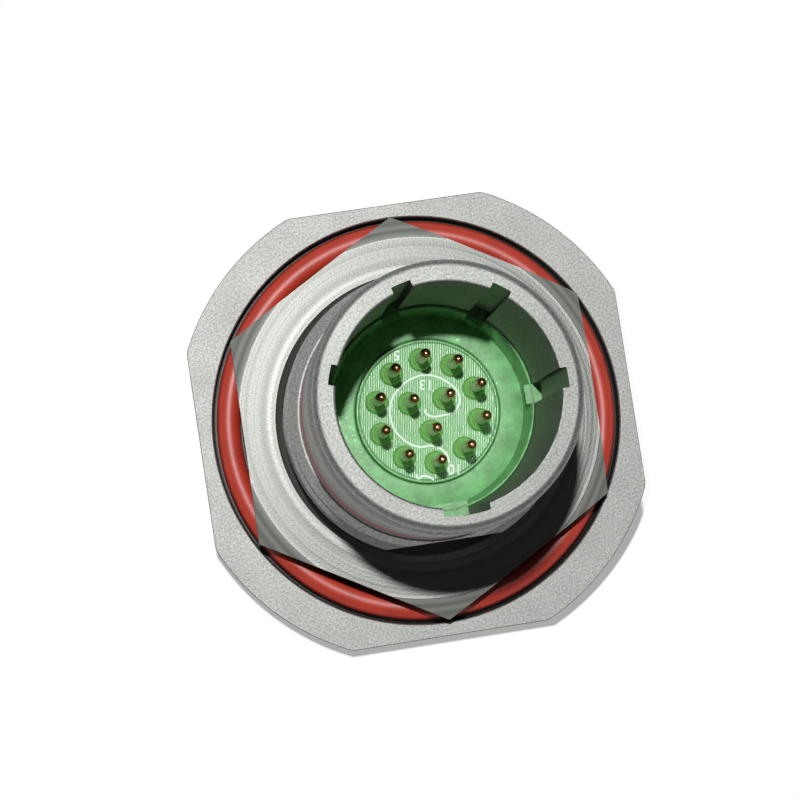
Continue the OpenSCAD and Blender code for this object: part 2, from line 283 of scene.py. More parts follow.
def radius_of(point):
    """Distance of a point from the axis."""
    return math.hypot(point.x, point.y)


def set_radius(vert, radius):
    """Moves a vertex straight in or out to a distance from the axis."""
    share = radius / radius_of(vert.co)
    vert.co.x *= share
    vert.co.y *= share


def faces_since(bm, before):
    """The faces that a bmesh has gained."""
    return [f for f in bm.faces if f not in before]


def verts_of(faces):
    """The vertices of some faces, each once."""
    return list({v for f in faces for v in f.verts})


def only(kind, geometry):
    """The elements of one kind in what an operator returned."""
    return [g for g in geometry if isinstance(g, kind)]


def spin_profile(bm, profile, steps=192, closed=True, centre=(0, 0), material=0):
    """Turns a profile of (radius, height) points round a vertical axis."""
    before = set(bm.faces)
    x, y = centre
    verts = [bm.verts.new((x + r, y, z)) for r, z in profile]
    ends = verts[1:] + verts[:1] if closed else verts[1:]
    edges = [bm.edges.new(pair) for pair in zip(verts, ends)]
    bmesh.ops.spin(
        bm,
        geom=verts + edges,
        cent=(x, y, 0),
        axis=(0, 0, 1),
        angle=FULL_TURN,
        steps=steps,
        use_merge=True,
    )
    grown = verts_of(faces_since(bm, before))
    on_axis = [v for v in grown if math.hypot(v.co.x - x, v.co.y - y) < MERGE_GAP]
    if on_axis:
        bmesh.ops.remove_doubles(bm, verts=on_axis, dist=MERGE_GAP)
    for face in faces_since(bm, before):
        face.material_index = material


def slice_off(bm, faces, point, outward):
    """Cuts off what lies beyond a plane. Returns the edges that the cut leaves in the plane."""
    edges = {e for f in faces for e in f.edges}
    cut = bmesh.ops.bisect_plane(
        bm,
        geom=[*verts_of(faces), *edges, *faces],
        dist=PLANE_GAP,
        plane_co=point,
        plane_no=outward,
        clear_outer=True,
    )
    return only(BMEdge, cut["geom_cut"])


def cut_away(bm, faces, point, outward):
    """Cuts off what lies beyond a plane and closes the cut."""
    rim = [e for e in slice_off(bm, faces, point, outward) if e.is_boundary]
    bmesh.ops.holes_fill(bm, edges=rim, sides=0)


def cut_flats(bm, count, first, distance):
    """Cuts flats round the axis, evenly spaced from the angle that the first one faces."""
    for side in range(count):
        angle = first + side * FULL_TURN / count
        outward = Vector((math.cos(angle), math.sin(angle), 0))
        cut_away(bm, bm.faces[:], outward * distance, outward)
    bmesh.ops.recalc_face_normals(bm, faces=bm.faces)


def add_prism(bm, outline, along, angle):
    """Pushes an outline of (x, y, z) points along a vector, then turns the prism round the axis."""
    face = bm.faces.new([bm.verts.new(point) for point in outline])
    grown = bmesh.ops.extrude_face_region(bm, geom=[face])["geom"]
    far = only(BMVert, grown)
    bmesh.ops.translate(bm, verts=far, vec=along)
    round_axis = Matrix.Rotation(angle, 3, "Z")
    bmesh.ops.rotate(bm, verts=[*face.verts, *far], cent=(0, 0, 0), matrix=round_axis)


def upright_corner(sharper_than):
    """A rule for bevel_where: two upright faces meet at more than an angle."""
    return lambda a, b: abs(a.z) < UPRIGHT and abs(b.z) < UPRIGHT and a.angle(b) > sharper_than


def wall_meets_level(a, b):
    """A rule for bevel_where: an upright face meets a level one."""
    return min(abs(a.z), abs(b.z)) < UPRIGHT and max(abs(a.z), abs(b.z)) > 1 - UPRIGHT


def bevel_where(bm, beyond, offset, segments, chosen, material=-1):
    """Rounds the edges outside a radius whose two faces' normals meet a rule."""
    bm.normal_update()
    edges = [
        e
        for e in bm.edges
        if len(e.link_faces) == 2
        and all(radius_of(v.co) > beyond for v in e.verts)
        and chosen(*(f.normal for f in e.link_faces))
    ]
    bmesh.ops.bevel(
        bm,
        geom=edges,
        offset=offset,
        segments=segments,
        profile=0.5,
        affect="EDGES",
        material=material,
        clamp_overlap=True,
    )


def spin_thread(bm, major_r, minor_r, inner_r, low, high, pitch, lead_in, steps=96):
    """A closed sleeve with a right-hand thread outside and a chamfer at each end. Returns its faces."""
    crest, root = pitch / 8, pitch / 4
    flank = (pitch - crest - root) / 2
    profile = [
        (minor_r, 0),
        (minor_r, root),
        (major_r, root + flank),
        (major_r, root + flank + crest),
        (minor_r, pitch),
    ]
    turns = math.ceil((high - low) / pitch) + 1
    verts = [bm.verts.new((r, 0, low - pitch + z)) for r, z in profile]
    edges = [bm.edges.new(pair) for pair in zip(verts, verts[1:])]
    before = set(bm.faces)
    bmesh.ops.spin(
        bm,
        geom=verts + edges,
        cent=(0, 0, 0),
        axis=(0, 0, 1),
        dvec=(0, 0, pitch / steps),
        angle=FULL_TURN * turns,
        steps=steps * turns,
    )
    bmesh.ops.remove_doubles(bm, verts=verts_of(faces_since(bm, before)), dist=THREAD_GAP)
    rims = [
        slice_off(bm, faces_since(bm, before), (0, 0, height), (0, 0, way))
        for height, way in ((high, 1), (low, -1))
    ]
    for vert in verts_of(faces_since(bm, before)):
        room = min(high - vert.co.z, vert.co.z - low) + major_r - lead_in
        if radius_of(vert.co) > room:
            set_radius(vert, room)
    inner = []
    for rim in rims:
        grown = bmesh.ops.extrude_edge_only(bm, edges=rim)["geom"]
        for vert in only(BMVert, grown):
            set_radius(vert, inner_r)
        inner += [e for e in only(BMEdge, grown) if e.is_boundary]
    bmesh.ops.bridge_loops(bm, edges=inner)
    return faces_since(bm, before)


def finished(name, bm, materials, sharp=30.0):
    """Turns a bmesh into an object at the origin, smooth apart from its sharp edges and level faces."""
    bmesh.ops.recalc_face_normals(bm, faces=bm.faces)
    mesh = bpy.data.meshes.new(name)
    bm.to_mesh(mesh)
    bm.free()
    for material in materials:
        mesh.materials.append(material)
    mesh.set_sharp_from_angle(angle=math.radians(sharp))
    level = 0.9999
    smooth = [abs(face.normal.z) < level for face in mesh.polygons]
    mesh.polygons.foreach_set("use_smooth", smooth)
    piece = bpy.data.objects.new(name, mesh)
    bpy.context.scene.collection.objects.link(piece)
    return piece


def carve(piece, cutter):
    """Carves the cutter out of the piece for good."""
    carving = piece.modifiers.new("carve", "BOOLEAN")
    carving.operation = "DIFFERENCE"
    carving.solver = "EXACT"
    carving.object = cutter
    depsgraph = bpy.context.evaluated_depsgraph_get()
    carved = bpy.data.meshes.new_from_object(piece.evaluated_get(depsgraph), depsgraph=depsgraph)
    piece.modifiers.clear()
    piece.data = carved
    bpy.data.objects.remove(cutter)


def seat(piece, body, slot, *nodes):
    """Says which body a piece rides on and hides the nodes it stands for. The slot is not used."""
    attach(piece, body)
    if nodes:
        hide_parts(*nodes)


# ---------------------------------------------------------------- materials


def add_node(tree, kind, *inputs, settings=(), **named):
    """Adds a node. Sockets given as inputs are linked, and other values are set."""
    made = tree.nodes.new(kind)
    for key, value in dict(settings).items():
        setattr(made, key, value)
    pairs = list(zip(made.inputs, inputs))
    pairs += [(made.inputs[key.replace("_", " ")], value) for key, value in named.items()]
    for socket, value in pairs:
        if isinstance(value, bpy.types.NodeSocket):
            tree.links.new(value, socket)
        else:
            socket.default_value = value
    return made


def calculate(tree, operation, *values):
    """The result of a Math node."""
    made = add_node(tree, "ShaderNodeMath", *values, settings={"operation": operation})
    return made.outputs["Value"]


def calculate_vector(tree, operation, *values):
    """The result of a Vector Math node, which is a number for a length."""
    made = add_node(tree, "ShaderNodeVectorMath", *values, settings={"operation": operation})
    return made.outputs["Value" if operation == "LENGTH" else "Vector"]


class Shader:
    """A Principled material with object coordinates, to which finishes add their detail."""

    def __init__(self, name, colour, metallic=0.0, roughness=0.5, **sockets):
        self.material = bpy.data.materials.new(name)
        self.material.use_nodes = True
        self.tree = self.material.node_tree
        self.surface = self.tree.nodes["Principled BSDF"]
        self.surface.inputs["Base Color"].default_value = (*colour, 1)
        self.surface.inputs["Metallic"].default_value = metallic
        self.surface.inputs["Roughness"].default_value = roughness
        for socket, value in sockets.items():
            self.surface.inputs[socket.replace("_", " ")].default_value = value
        self.place = self.tree.nodes.new("ShaderNodeTexCoord").outputs["Object"]
        self.normal = None

    def noise(self, per_mm, detail=2.0, roughness=0.5, place=None):
        """Noise with that many features to the millimetre."""
        made = add_node(
            self.tree,
            "ShaderNodeTexNoise",
            Vector=place or self.place,
            Scale=per_mm / MM,
            Detail=detail,
            Roughness=roughness,
        )
        return made.outputs["Fac"]

    def mapped(self, **named):
        """Object coordinates, turned or scaled."""
        return add_node(self.tree, "ShaderNodeMapping", self.place, **named).outputs["Vector"]

    def ramp(self, value, low, high):
        """A colour ramp over the value between two stops, each (position, grey or colour)."""
        made = add_node(self.tree, "ShaderNodeValToRGB", value)
        for element, (position, colour) in zip(made.color_ramp.elements, (low, high)):
            element.position = position
            element.color = (colour,) * 3 + (1,) if isinstance(colour, float) else (*colour, 1)
        return made.outputs["Color"]

    def bump(self, height, depth_mm, strength):
        """Adds a bump of that depth over the ones before it."""
        distance = depth_mm * MM
        made = add_node(self.tree, "ShaderNodeBump", Strength=strength, Distance=distance, Height=height)
        if self.normal:
            self.tree.links.new(self.normal, made.inputs["Normal"])
        self.normal = made.outputs["Normal"]
        self.feed("Normal", self.normal)

    def feed(self, socket, value):
        """Links a value to one of the surface's sockets."""
        self.tree.links.new(value, self.surface.inputs[socket])


def mixed_tones(shader, colour, value, darker, lighter):
    """Varies the base colour between a darker and a lighter tone."""
    low = tuple(c * darker for c in colour)
    high = tuple(min(c * lighter, 1.0) for c in colour)
    shader.feed("Base Color", shader.ramp(value, (0.3, low), (0.7, high)))


def blasted_metal(name, colour, roughness=0.62):
    """Bead-blasted plating: a fine grain that sparkles, and faint clouds."""
    shader = Shader(name, colour, metallic=1.0, roughness=roughness)
    grain = shader.noise(per_mm=6.5, detail=3.0, roughness=0.7)
    clouds = shader.noise(per_mm=0.35)
    mixed_tones(shader, colour, grain, darker=0.62, lighter=1.4)
    shine = 0.015
    shader.feed("Roughness", shader.ramp(clouds, (0.3, roughness - shine), (0.7, roughness + shine)))
    shader.bump(grain, depth_mm=0.012, strength=0.4)
    return shader.material


def turned_metal(name, colour, roughness=0.43):
    """A turned face: broad soft rings and fine concentric tool marks under a grain."""
    shader = Shader(name, colour, metallic=1.0, roughness=roughness)
    level_place = calculate_vector(shader.tree, "MULTIPLY", shader.place, (1, 1, 0))
    from_axis = calculate_vector(shader.tree, "LENGTH", level_place)
    rings = add_node(shader.tree, "ShaderNodeCombineXYZ", from_axis).outputs["Vector"]
    broad = shader.noise(per_mm=1.7, detail=1.0, place=rings)
    marks = shader.noise(per_mm=6.0, detail=3.0, roughness=0.7, place=rings)
    grain = shader.noise(per_mm=8.0, roughness=0.6)
    mixed_tones(shader, colour, broad, darker=0.66, lighter=1.34)
    shader.bump(broad, depth_mm=0.06, strength=0.8)
    shader.bump(marks, depth_mm=0.02, strength=0.6)
    shader.bump(grain, depth_mm=0.02, strength=0.5)
    return shader.material


def paint_band(colour):
    """Thin red paint over the plating."""
    shader = Shader("paint_band", colour)
    shader.bump(shader.noise(per_mm=6.0), depth_mm=0.01, strength=0.4)
    return shader.material


def red_rubber(colour):
    """Smooth moulded rubber with a soft sheen."""
    shader = Shader("red_rubber", colour, roughness=0.44, Specular_IOR_Level=0.65)
    mixed_tones(shader, colour, shader.noise(per_mm=0.6, detail=3.0), darker=0.9, lighter=1.1)
    shader.bump(shader.noise(per_mm=2.5), depth_mm=0.01, strength=0.35)
    shader.bump(shader.noise(per_mm=9.0), depth_mm=0.004, strength=0.3)
    return shader.material


def translucent(shader, weight):
    """Lets green light travel under the surface."""
    shader.surface.inputs["Subsurface Weight"].default_value = weight
    shader.surface.inputs["Subsurface Radius"].default_value = (0.25, 1.0, 0.3)
    shader.surface.inputs["Subsurface Scale"].default_value = 0.45 * MM


def rim_rubber(colour):
    """Light green rubber with a satin grain and fine wet specks."""
    shader = Shader("rim_rubber", colour, roughness=0.45)
    translucent(shader, 0.3)
    clouds = shader.noise(per_mm=0.9, detail=4.0, roughness=0.65)
    mixed_tones(shader, colour, clouds, darker=0.68, lighter=1.3)
    specks = shader.noise(per_mm=5.0, detail=3.0)
    shader.feed("Metallic", shader.ramp(specks, (0.6, 0.0), (0.72, 0.8)))
    shader.bump(shader.noise(per_mm=9.0), depth_mm=0.015, strength=0.9)
    return shader.material


def face_rubber(colour, bloom):
    """Glossy green rubber. The bloom on its striations mirrors the lamp and leaves the shade green."""
    shader = Shader("face_rubber", colour, roughness=0.42)
    translucent(shader, 0.4)
    lines = add_node(
        shader.tree,
        "ShaderNodeTexWave",
        settings={"wave_type": "BANDS", "bands_direction": "X"},
        Vector=shader.mapped(Rotation=(0, 0, math.radians(9))),
        Scale=1.95 / MM,
        Distortion=2.0,
        Detail=2.0,
        Detail_Scale=2.0,
    ).outputs["Fac"]
    patches = shader.noise(per_mm=1.6, detail=5.0, roughness=0.75)
    bloomed = calculate(shader.tree, "MULTIPLY", lines, patches)
    shader.feed("Base Color", shader.ramp(bloomed, (0.1, tuple(colour)), (0.5, tuple(bloom))))
    shader.feed("Metallic", shader.ramp(bloomed, (0.1, 0.0), (0.5, 0.45)))
    shader.bump(lines, depth_mm=0.02, strength=0.8)
    shader.bump(shader.noise(per_mm=5.0), depth_mm=0.015, strength=0.6)
    return shader.material


def tower_rubber(colour):
    """The same rubber where the mould was polished."""
    shader = Shader("tower_rubber", colour, roughness=0.35)
    translucent(shader, 0.5)
    shader.bump(shader.noise(per_mm=4.0), depth_mm=0.008, strength=0.5)
    return shader.material


def moulded(name, colour, roughness=0.35):
    """Hard moulded plastic or soft rubber with an even grain."""
    shader = Shader(name, colour, roughness=roughness)
    mixed_tones(shader, colour, shader.noise(per_mm=0.8, detail=3.0), darker=0.92, lighter=1.08)
    shader.bump(shader.noise(per_mm=6.0), depth_mm=0.008, strength=0.4)
    return shader.material


def turned_alloy(name, colour, roughness=0.24):
    """Turned and plated alloy with fine tool marks along its length."""
    shader = Shader(name, colour, metallic=1.0, roughness=roughness)
    marks = shader.noise(per_mm=12.0, place=shader.mapped(Scale=(0.05, 0.05, 1)))
    mixed_tones(shader, colour, marks, darker=0.9, lighter=1.08)
    shader.bump(marks, depth_mm=0.01, strength=0.3)
    return shader.material


def ink(colour):
    """Matt white print."""
    shader = Shader("print_ink", colour)
    shader.bump(shader.noise(per_mm=8.0), depth_mm=0.004, strength=0.4)
    return shader.material


# ---------------------------------------------------------------- pieces


def shell_profile(s):
    """The shell's section in three runs: above the red band, the band itself and below it.

    It runs from the mouth's inner edge over the outside and back up the bore.
    """
    top, rear, back = SHELL_HIGH.z, SHELL_LOW.z, -s.flange_t
    small = 0.08 * MM
    mouth_round, lip_round, corner = 0.15 * MM, 0.45 * MM, 0.2 * MM
    lip_r = s.barrel_r - 0.19 * MM
    latch_r = lip_r - 0.3 * MM
    latch_top, latch_foot = top - 1.5 * MM, top - 2.5 * MM
    above = [
        *arc((s.bore_r + mouth_round, top - mouth_round), mouth_round, 180, 90, 4),
        *arc((lip_r - lip_round, top - lip_round), lip_round, 90, 0, 9),
        (lip_r, latch_top + small),
        (lip_r - small, latch_top),
        *arc((latch_r + corner, latch_top - 0.3 * MM), corner, 135, 180, 4),
        *arc((latch_r + corner, latch_foot + 0.1 * MM), corner, 180, 225, 4),
        (s.barrel_r - 0.03 * MM, latch_foot - 0.47 * MM),
        (s.barrel_r, latch_foot - 0.55 * MM),
    ]
    band_top, band_foot = s.thread_h + 3.4 * MM, s.thread_h + 0.5 * MM
    band = [(s.barrel_r, band_top), (s.barrel_r, band_foot)]
    foot_r = s.barrel_r + 0.1 * MM
    thread_root = s.flat_offset - 0.05 * MM
    land = -0.15 * MM
    collar_r, collar_foot = s.rear_thread_r + 0.8 * MM, back - 1.2 * MM
    rear_root = s.rear_thread_r - 0.62 * MM
    tooth_r, tooth_root = s.rear_thread_r - 0.3 * MM, rear + s.tooth_depth
    ring_r, ring_high, ring_low = s.rear_r + 0.35 * MM, s.ring_top + 0.03 * MM, s.ring_top - 0.73 * MM
    below = [
        (s.barrel_r, s.thread_h + 0.35 * MM),
        (foot_r, s.thread_h + 0.06 * MM),
        (foot_r, s.thread_h - 0.02 * MM),
        (thread_root, s.thread_h - 0.04 * MM),
        (thread_root, land),
        (s.groove_in_r - small, land),
        (s.groove_in_r, land - small),
        *arc((s.groove_in_r + corner, corner - s.groove_depth), corner, 180, 270, 5),
        *arc((s.groove_out_r - corner, corner - s.groove_depth), corner, 270, 360, 5),
        (s.groove_out_r, -small),
        (s.groove_out_r + small, 0),
        (s.flange_r, 0),
        (s.flange_r, back),
        (collar_r + 0.05 * MM, back),
        (collar_r, back - 0.05 * MM),
        (collar_r, collar_foot + corner),
        (collar_r - corner, collar_foot),
        (rear_root, collar_foot),
        (rear_root, tooth_root + 0.15 * MM),
        (tooth_r, tooth_root + 0.1 * MM),
        (tooth_r, rear + small),
        (tooth_r - small, rear),
        (s.rear_r + small, rear),
        (s.rear_r, rear + small),
        (s.rear_r, ring_low),
        (ring_r, ring_low),
        (ring_r, ring_high),
        (s.rear_r, ring_high),
        (s.rear_r, s.shoulder_z),
        (s.mid_r, s.shoulder_z),
        (s.mid_r, s.bore_floor),
        *arc((s.bore_r - mouth_round, s.bore_floor + mouth_round), mouth_round, 270, 360, 4),
    ]
    return above, band, below


def keyway_bar(bm, s, angle, width, top):
    """A bar with a curved back, which fills one keyway up to a height."""
    front_r = 6.6 * MM
    half = math.degrees(math.asin(width / 2 / s.key_r))
    outline = [(front_r, -width / 2), *arc((0, 0), s.key_r, -half, half, 9), (front_r, width / 2)]
    add_prism(bm, [(x, y, s.key_floor) for x, y in outline], (0, 0, top - s.key_floor), angle)


def keyways(s):
    """The angle and the width of each keyway."""
    down = -math.pi / 2
    minor = [(down + math.radians(turn), s.minor_key_w) for turn in MINOR_KEYS]
    return [(down, s.main_key_w), *minor]


def tooth_cutter(bm, s, angle):
    """A wedge that cuts one gap between the accessory teeth."""
    near_r, reach, drop = s.rear_r - 1 * MM, 3 * MM, 0.2 * MM
    foot = SHELL_LOW.z - drop
    half = math.pi * s.rear_r / s.teeth
    wide = half + drop * half / s.tooth_depth
    outline = [(near_r, -wide, foot), (near_r, wide, foot), (near_r, 0, SHELL_LOW.z + s.tooth_depth)]
    add_prism(bm, outline, (reach, 0, 0), angle)


def round_flange(bm, s):
    """Rounds the flange's corners and edges, and paints shade on its edges and in its groove with a dark
    plating.
    """
    outside = s.groove_out_r + 0.5 * MM
    bevel_where(bm, outside, s.corner_r, segments=6, chosen=upright_corner(0.2))
    # Painted shade: the rounded edges take the dark plating.
    bevel_where(bm, outside, s.edge_r, segments=4, chosen=wall_meets_level, material=PAINTED_SHADE)
    # Painted shade: the groove's faces take the dark plating too.
    for face in bm.faces:
        spot = face.calc_center_median()
        beside = s.groove_in_r - 0.05 * MM < radius_of(spot) < s.groove_out_r + 0.02 * MM
        if beside and -s.groove_depth - 0.01 * MM < spot.z < -0.05 * MM:
            face.material_index = PAINTED_SHADE


def finish_barrel(bm, s, band):
    """Gives what stands above the flange the smooth plating, and the barrel its red band."""
    (_, band_top), (_, band_foot) = band
    for face in bm.faces:
        spot = face.calc_center_median()
        on_barrel = abs(radius_of(spot) - s.barrel_r) < 0.02 * MM
        if on_barrel and band_foot < spot.z < band_top:
            face.material_index = BANDED
        elif spot.z > 0.1 * MM:
            face.material_index = SMOOTH


def add_threads(bm, s):
    """Adds the panel thread, with its flat, and the accessory thread."""
    sleeve = spin_thread(
        bm,
        major_r=s.thread_r,
        minor_r=s.thread_r - 0.61 * MM,
        inner_r=s.flat_offset - 0.2 * MM,
        low=-0.1 * MM,
        high=s.thread_h,
        pitch=s.pitch,
        lead_in=0.86 * MM,
    )
    cut_away(bm, sleeve, (0, -s.flat_offset, 0), (0, -1, 0))
    spin_thread(
        bm,
        major_r=s.rear_thread_r,
        minor_r=s.rear_thread_r - 0.58 * MM,
        inner_r=s.rear_thread_r - 0.7 * MM,
        low=SHELL_LOW.z + s.tooth_depth + 0.3 * MM,
        high=-s.flange_t - 1.9 * MM,
        pitch=s.pitch,
        lead_in=0.3 * MM,
    )


def make_shell(s, finishes):
    """The shell: one turned body with its flats, keyways, teeth and threads."""
    above, band, below = shell_profile(s)
    bm = bmesh.new()
    spin_profile(bm, above + band + below, steps=168)
    cut_flats(bm, count=4, first=0, distance=SHELL_HIGH.x)
    round_flange(bm, s)
    materials = [
        blasted_metal("blasted_plating", finishes.plating),
        paint_band(finishes.band),
        # Painted shade: the dark plating of the flange's edges and groove.
        blasted_metal("painted_shade_plating", finishes.painted_shade_plating),
        blasted_metal("barrel_plating", finishes.barrel_plating, roughness=0.53),
    ]
    body = finished("shell_turned", bm, materials)
    cutters = bmesh.new()
    for angle, width in keyways(s):
        keyway_bar(cutters, s, angle, width, SHELL_HIGH.z + 1 * MM)
    for i in range(s.teeth):
        tooth_cutter(cutters, s, (i + 0.5) * FULL_TURN / s.teeth)
    carve(body, finished("cutters", cutters, []))
    bm = bmesh.new()
    bm.from_mesh(body.data)
    bpy.data.objects.remove(body)
    finish_barrel(bm, s, band)
    add_threads(bm, s)
    piece = finished("shell_turned", bm, materials)
    seat(piece, "receptacle", "plated_shell", "shell")


def make_jam_nut(n, finishes):
    """The jam nut: a turned ring, cut to a hexagon, with its corners eased."""
    low, high = NUT_LOW.z, NUT_HIGH.z
    half_side = math.pi / 6
    corner_r = n.flat_r / math.cos(half_side)
    past_r = corner_r + 0.1 * MM
    small, heel = 0.06 * MM, 0.3 * MM
    face_chamfer, back_chamfer = 0.5 * MM, 0.25 * MM
    profile = [
        (n.face_r + small, high - small * 0.5),
        (n.face_r, high - small * 0.1),
        (n.face_r - small, high),
        (n.bore_r + face_chamfer, high),
        (n.bore_r, high - face_chamfer),
        (n.bore_r, low + back_chamfer),
        (n.bore_r + back_chamfer, low),
        (corner_r - heel, low),
        (past_r, low + heel),
        (past_r, high - (past_r - n.face_r) * math.tan(half_side)),
    ]
    bm = bmesh.new()
    spin_profile(bm, profile, steps=240)
    cut_flats(bm, count=6, first=n.first_corner + half_side, distance=n.flat_r)
    bevel_where(bm, n.flat_r, small, segments=3, chosen=upright_corner(0.9))
    for face in bm.faces:
        on_chamfer = 0.3 < face.normal.z < 0.97
        face.material_index = int(on_chamfer)
    platings = [
        turned_metal("turned_plating", finishes.nut_plating),
        turned_metal("chamfer_plating", finishes.nut_chamfer, roughness=0.58),
    ]
    piece = finished("jam_nut_turned", bm, platings, sharp=18.0)
    seat(piece, "jam_nut", "turned_nut", "jam_nut")


def make_panel_seal(s, finishes):
    """The red ring in the flange's groove, with the fine seam of its mould."""
    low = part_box("panel_seal")[0].z
    seam = 0.015 * MM
    circle = arc((s.ring_r, low + s.cord_r), s.cord_r, 0, 360, 41)[:-1]
    circle[0] = (circle[0][0] - seam, circle[0][1])
    bm = bmesh.new()
    spin_profile(bm, circle, steps=256)
    piece = finished("panel_seal_moulded", bm, [red_rubber(finishes.red_rubber)], sharp=60.0)
    seat(piece, "receptacle", "red_rubber", "panel_seal")


def make_peripheral_seal(s, shell, finishes):
    """The light green ring on the bore's floor, with a thin lip up the bore that closes the keyways."""
    inner, outer = s.boss_r + 0.04 * MM, shell.bore_r - 0.03 * MM
    lip_round, inner_round = 0.1 * MM, 0.14 * MM
    profile = [
        (inner, shell.bore_floor),
        (outer, shell.bore_floor),
        (outer, shell.key_floor),
        *arc((outer - lip_round, shell.key_floor), lip_round, 20, 160, 6),
        (outer - 0.32 * MM, s.rim_z + 0.3 * MM),
        (outer - 0.42 * MM, s.rim_z + 0.06 * MM),
        (outer - 0.7 * MM, s.rim_z + 0.1 * MM),
        (inner + 0.45 * MM, s.rim_z + 0.24 * MM),
        *arc((inner + inner_round, s.rim_z + 0.08 * MM), inner_round, 75, 180, 6),
    ]
    bm = bmesh.new()
    spin_profile(bm, profile, steps=192)
    play, cover = 0.02 * MM, 0.08 * MM
    for angle, width in keyways(shell):
        keyway_bar(bm, shell, angle, width - play, shell.key_floor + cover)
    piece = finished("peripheral_seal_moulded", bm, [rim_rubber(finishes.rim_rubber)], sharp=50.0)
    seat(piece, "receptacle", "green_rubber", "peripheral_seal")


def contact_place(node):
    """The axis of a contact, from its box."""
    low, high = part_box(node)
    return ((low.x + high.x) / 2, (low.y + high.y) / 2)


def tower_profile(s, hole_r):
    """A tower's section, from its foot up over two ledges to its top."""
    top = s.face_z
    buried = top - 0.05 * MM
    ledges = (
        (0.15, 0.4), (0.18, 0.42), (0.25, 0.436), (0.27, 0.46),
        (0.3, 0.74), (0.32, 0.76), (0.37, 0.772), (0.39, 0.82),
    )
    return [
        (hole_r, buried),
        (s.tower_r + 0.02 * MM, buried),
        (s.tower_r, top + 0.03 * MM),
        (s.tower_r - 0.04 * MM, top + 0.1 * MM),
        *((s.tower_r - inset * MM, top + share * s.tower_h) for inset, share in ledges),
        (s.tower_r - 0.4 * MM, top + s.tower_h - 0.03 * MM),
        (hole_r, top + s.tower_h),
    ]


def make_interface_seal(s, contact, finishes):
    """The green face of the insert, with a fine groove inside its edge and a tower round each pin."""
    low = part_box("interface_seal")[0].z
    top = s.face_z
    edge_round = 0.1 * MM
    groove = ((0.16, 0.0), (0.22, 0.05), (0.28, 0.0))
    disc = [
        (0, low),
        (s.boss_r, low),
        *arc((s.boss_r - edge_round, top - edge_round), edge_round, 0, 90, 5),
        *((s.boss_r - inset * MM, top - depth * MM) for inset, depth in groove),
        *((s.boss_r * i / 8, top) for i in range(7, -1, -1)),
    ]
    tower = tower_profile(s, hole_r=contact.pin_r + 0.005 * MM)
    bm = bmesh.new()
    spin_profile(bm, disc, steps=160, closed=False)
    for node in CONTACTS:
        spin_profile(bm, tower, steps=48, centre=contact_place(node), material=1)
    rubbers = [
        face_rubber(finishes.face_rubber, finishes.face_bloom),
        tower_rubber(finishes.tower_rubber),
    ]
    piece = finished("interface_seal_moulded", bm, rubbers, sharp=50.0)
    seat(piece, "receptacle", "green_seal_face", "interface_seal")


def mesh_of_curve(curve, place):
    """Turns a curve or a text into a mesh that lies at a place."""
    source = bpy.data.objects.new("source", curve)
    bpy.context.scene.collection.objects.link(source)
    depsgraph = bpy.context.evaluated_depsgraph_get()
    mesh = bpy.data.meshes.new_from_object(source.evaluated_get(depsgraph), depsgraph=depsgraph)
    mesh.transform(place)
    bpy.data.objects.remove(source)
    return mesh


def printed_line(points, width, height):
    """A smooth printed line through points, given in millimetres."""
    curve = bpy.data.curves.new("line", "CURVE")
    curve.dimensions = "3D"
    curve.bevel_depth = width / 2
    curve.bevel_resolution = 1
    curve.use_fill_caps = True
    spline = curve.splines.new("BEZIER")
    spline.bezier_points.add(len(points) - 1)
    for knot, (x, y) in zip(spline.bezier_points, points):
        knot.co = (x * MM, y * MM, 0)
        knot.handle_left_type = knot.handle_right_type = "AUTO"
    flatness = 0.2
    flat = Matrix.Diagonal((1, 1, flatness, 1))
    return mesh_of_curve(curve, Matrix.Translation((0, 0, height)) @ flat)


def printed_text(words, x, y, size, turn, height):
    """A printed number at a place in millimetres."""
    curve = bpy.data.curves.new("text", "FONT")
    curve.body = words
    curve.size = size
    curve.extrude = 0.006 * MM
    curve.offset = 0.012 * MM
    curve.align_x = curve.align_y = "CENTER"
    place = Matrix.Translation((x * MM, y * MM, height))
    return mesh_of_curve(curve, place @ Matrix.Rotation(turn, 4, "Z"))


def make_print(p, seals, finishes):
    """The numbers on the insert's face, and the line that leads along the contacts in order."""
    height = seals.face_z + 0.004 * MM
    bm = bmesh.new()
    for points in (LEAD_LINE, START_MARK):
        bm.from_mesh(printed_line(points, p.line_w, height))
    for words, x, y in NUMBERS:
        bm.from_mesh(printed_text(words, x, y, p.digit_h, p.digit_turn, height))
    piece = finished("face_print", bm, [ink(finishes.print_ink)])
    seat(piece, "receptacle", "green_seal_face")


